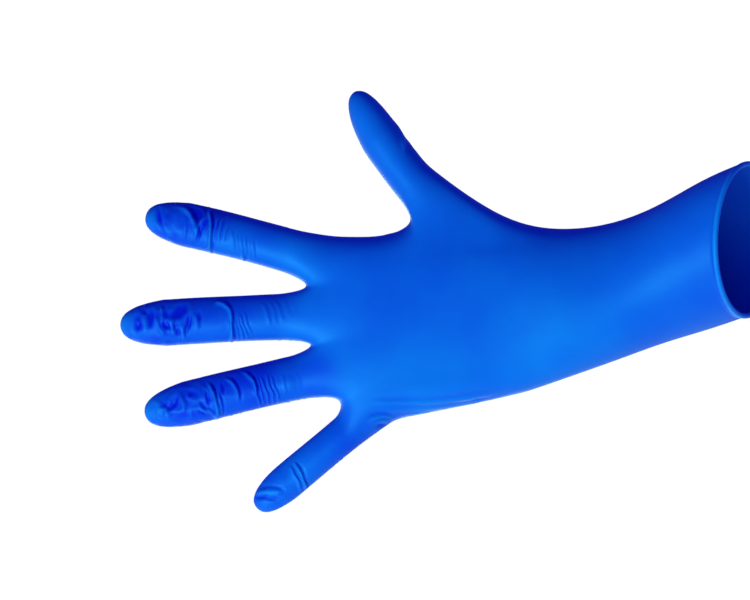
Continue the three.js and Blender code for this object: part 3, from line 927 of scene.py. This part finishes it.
# %% Make the film
inner_side = (inner_faces + len(outer))[:, ::-1]
all_points = np.concatenate([outer, inner, bead_points]) * MM
all_faces = np.concatenate([outer_faces, inner_side, bead_faces])
film_mesh = bpy.data.meshes.new("glove_film")
film_mesh.from_pydata(all_points.tolist(), [], all_faces.tolist())
film_mesh.polygons.foreach_set("use_smooth", [True] * len(all_faces))
slots = np.zeros(len(all_faces), int)
slots[len(outer_faces):len(outer_faces) + len(inner_side)] = 1
film_mesh.polygons.foreach_set("material_index", slots)
taut = film_mesh.attributes.new("tautness_light_and_shade", "FLOAT", "POINT")
taut.data.foreach_set("value", np.concatenate([outer_taut_light_and_shade, inner_taut_light_and_shade, bead_taut_and_highlight]))
film = bpy.data.objects.new("glove_film", film_mesh)
bpy.context.collection.objects.link(film)
bpy.data.objects.remove(cage)
film_mesh.validate()
film_mesh.update()
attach(film, "root")
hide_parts("glove")
print("the film has", 2 * len(all_faces), "triangles")

# %% [markdown]
# ## Nitrile
# Nitrile is satin, and its blue goes from deep violet in the slack places to azure where it is stretched. A
# ramp between the two follows the number from the mesh, with soft clouds added, because a dipped film is
# never quite even. That number also holds painted light and shade, so the violet end paints shade in pockets
# and on shaded parts, and the azure end paints highlights on ridges and lit parts. The shader's highlights
# are tinted blue, and a fine grain in the bump breaks them up, as the real film's texture does. A photograph
# as a texture would carry its own light along, so the colour is worked out here, painted light and shade
# included.

# %% A helper for shader nodes
def add_node(tree, kind, values):
    """A new node of that kind, with some of its inputs set."""
    node = tree.nodes.new(kind)
    for name, value in values.items():
        node.inputs[name].default_value = value
    return node


print("materials are built from nodes, with no images")

# %% Nitrile of the outer side
# The ramp's ends: the deep violet paints slack film and painted shade, the azure paints taut film and painted
# light.
SLACK_AND_SHADE_BLUE = (0.001, 0.006, 0.53, 1)
TAUT_AND_LIGHT_BLUE = (0.003, 0.16, 0.67, 1)
nitrile = bpy.data.materials.new("cobalt_nitrile")
nitrile.use_nodes = True
tree = nitrile.node_tree
shader = tree.nodes["Principled BSDF"]
shader.inputs["Roughness"].default_value = 0.47
shader.inputs["IOR"].default_value = 1.5
shader.inputs["Specular IOR Level"].default_value = 0.4
shader.inputs["Specular Tint"].default_value = (0.05, 0.5, 1, 1)
places = add_node(tree, "ShaderNodeTexCoord", {})
print("nitrile has roughness", round(shader.inputs["Roughness"].default_value, 2))

# %% Colour of the outer side, with painted light and shade
CLOUDS_PER_M = 35
CLOUD_SHARE = 0.34                    # what the clouds add to the tautness, at most
SLACK_END = 0.24                      # up to here the colour stays SLACK_AND_SHADE_BLUE
clouds = add_node(tree, "ShaderNodeTexNoise", {"Scale": CLOUDS_PER_M, "Detail": 3})
taut_light_and_shade_node = add_node(tree, "ShaderNodeAttribute", {})
taut_light_and_shade_node.attribute_name = "tautness_light_and_shade"
cloudy = add_node(tree, "ShaderNodeMath", {1: CLOUD_SHARE})
cloudy.operation = "MULTIPLY_ADD"
ramp = add_node(tree, "ShaderNodeValToRGB", {})
ramp.color_ramp.elements[0].position = SLACK_END
ramp.color_ramp.elements[0].color = SLACK_AND_SHADE_BLUE
ramp.color_ramp.elements[1].color = TAUT_AND_LIGHT_BLUE
tree.links.new(places.outputs["Object"], clouds.inputs["Vector"])
tree.links.new(clouds.outputs["Fac"], cloudy.inputs[0])
tree.links.new(taut_light_and_shade_node.outputs["Fac"], cloudy.inputs[2])
tree.links.new(cloudy.outputs["Value"], ramp.inputs["Fac"])
tree.links.new(ramp.outputs["Color"], shader.inputs["Base Color"])
print("the colour runs from", SLACK_AND_SHADE_BLUE[:3], "to", TAUT_AND_LIGHT_BLUE[:3])

# %% Grain of the outer side
GRAINS_PER_M = 900
grain = add_node(tree, "ShaderNodeTexNoise", {"Scale": GRAINS_PER_M, "Detail": 3})
bump = add_node(tree, "ShaderNodeBump", {"Strength": 0.12, "Distance": 0.0003})
tree.links.new(places.outputs["Object"], grain.inputs["Vector"])
tree.links.new(grain.outputs["Fac"], bump.inputs["Height"])
tree.links.new(bump.outputs["Normal"], shader.inputs["Normal"])
film_mesh.materials.append(nitrile)
print("the grain is about", round(1000 / GRAINS_PER_M, 1), "mm wide")

# %% [markdown]
# ## The inner side's finish
# The inside is chlorinated at the factory so that it slips on easily, and this leaves it duller than outside.
# It is the same material with a higher roughness, and a copy keeps the two in step.

# %% Nitrile of the inner side
lining = nitrile.copy()
lining.name = "dull_nitrile_inside"
lining.node_tree.nodes["Principled BSDF"].inputs["Roughness"].default_value = 0.7
film_mesh.materials.append(lining)
print("the film has", len(film_mesh.materials), "materials")

# %% [markdown]
# ## A pale studio
# The picture's ground is plain white with no shadow. A wide pale disc lies half a metre below the glove, far
# enough for its shadow to spread out and fade. It glows evenly to the camera but lights the glove less, or
# the fingers would be lit from below as brightly as from the front.

# %% Floor
FLOOR_DROP = 0.55
FLOOR_RADIUS = 12
FLOOR_CORNERS = 64
turns = np.linspace(0, 2 * math.pi, FLOOR_CORNERS, endpoint=False)
floor_height = np.full(FLOOR_CORNERS, cad_low.z - FLOOR_DROP)
floor_rim = np.column_stack([FLOOR_RADIUS * np.cos(turns), FLOOR_RADIUS * np.sin(turns), floor_height])
floor_mesh = bpy.data.meshes.new("pale_floor")
floor_mesh.from_pydata(floor_rim.tolist(), [], [list(range(FLOOR_CORNERS))])
floor = bpy.data.objects.new("pale_floor", floor_mesh)
bpy.context.collection.objects.link(floor)
print("the floor lies", FLOOR_DROP, "m below the glove")

# %% Floor material
FLOOR_GLOW = 0.28                     # as the glove sees it
FLOOR_SEEN = 1.0                      # as the camera sees it
pale = bpy.data.materials.new("pale_floor")
pale.use_nodes = True
pale_shader = pale.node_tree.nodes["Principled BSDF"]
pale_shader.inputs["Base Color"].default_value = (0.9, 0.9, 0.9, 1)
pale_shader.inputs["Roughness"].default_value = 0.9
pale_shader.inputs["Emission Color"].default_value = (1, 1, 1, 1)
pale_ray = add_node(pale.node_tree, "ShaderNodeLightPath", {})
pale_glow = add_node(pale.node_tree, "ShaderNodeMapRange", {"To Min": FLOOR_GLOW, "To Max": FLOOR_SEEN})
pale.node_tree.links.new(pale_ray.outputs["Is Camera Ray"], pale_glow.inputs["Value"])
pale.node_tree.links.new(pale_glow.outputs["Result"], pale_shader.inputs["Emission Strength"])
floor_mesh.materials.append(pale)
print("the floor glows", FLOOR_GLOW, "on the glove and", FLOOR_SEEN, "to the camera")

# %% [markdown]
# ## Air and light
# The air is white to the camera. The glove sees it as a soft blue dome, paler at the horizon and deeper
# overhead, which gives the violet in the film's shadows. A picture of a studio could do this, but two
# colours and a fade are enough for a form this soft.

# %% World
HORIZON = (0.18, 0.24, 0.55, 1)
OVERHEAD = (0.04, 0.05, 0.5, 1)
FADE_TOP = 0.45                       # the fade ends at this height on a dome of radius 1
world = bpy.data.worlds.new("studio_air")
bpy.context.scene.world = world
world.use_nodes = True
air = world.node_tree
direction = add_node(air, "ShaderNodeTexCoord", {})
split = add_node(air, "ShaderNodeSeparateXYZ", {})
upper = add_node(air, "ShaderNodeMapRange", {"From Min": 0.0, "From Max": FADE_TOP})
tint = air.nodes.new("ShaderNodeMix")
tint.data_type = "RGBA"
tint.inputs["A"].default_value = HORIZON
tint.inputs["B"].default_value = OVERHEAD
air.links.new(direction.outputs["Generated"], split.inputs["Vector"])
air.links.new(split.outputs["Z"], upper.inputs["Value"])
air.links.new(upper.outputs["Result"], tint.inputs["Factor"])
print("the air fades from", HORIZON[:3], "to", OVERHEAD[:3])

# %% What the camera sees of the air
SEEN_AIR = (1.02, 1.02, 1.02, 1)
ray = add_node(air, "ShaderNodeLightPath", {})
seen = air.nodes.new("ShaderNodeMix")
seen.data_type = "RGBA"
seen.inputs["B"].default_value = SEEN_AIR
air.links.new(ray.outputs["Is Camera Ray"], seen.inputs["Factor"])
air.links.new(tint.outputs["Result"], seen.inputs["A"])
air.links.new(seen.outputs["Result"], air.nodes["Background"].inputs["Color"])
air.nodes["Background"].inputs["Strength"].default_value = 1
print("the camera sees the air as", SEEN_AIR[:3])

# %% [markdown]
# ## Two lamps
# The glow on the back comes from low on the left, so the key lamp stands there, near enough that the upper
# edges fall away into shade. A second, larger lamp behind and below keeps the palm's side from going dark.
# Both are soft rectangles. A sun lamp would be simpler, but it lights every part from one direction alike.

# %% Lamps
GLOVE_MIDDLE = Vector((-0.13, 0.01, -0.03))
LAMP_COLOUR = (0.6, 1, 0.62)


def add_lamp(name, place, width, height, power):
    lamp = bpy.data.objects.new(name, bpy.data.lights.new(name, "AREA"))
    lamp.data.shape = "RECTANGLE"
    lamp.data.size = width
    lamp.data.size_y = height
    lamp.data.energy = power
    lamp.data.color = LAMP_COLOUR
    lamp.location = place
    to_glove = GLOVE_MIDDLE - lamp.location
    lamp.rotation_mode = "QUATERNION"
    lamp.rotation_quaternion = to_glove.to_track_quat("-Z", "Y")
    bpy.context.collection.objects.link(lamp)
    print(name, "is", round(to_glove.length, 2), "m from the glove, at", power, "W")


add_lamp("key_lamp", (-0.6, -0.7, -0.52), 0.5, 0.25, 12)
add_lamp("palm_lamp", (-0.3, 0.9, -0.4), 0.8, 0.8, 6)

# %% [markdown]
# ## Finish
# The Standard view keeps the blue as saturated as it is in the materials, where the default one would grey
# it.

# %% View and finish
bpy.context.scene.view_settings.view_transform = "Standard"
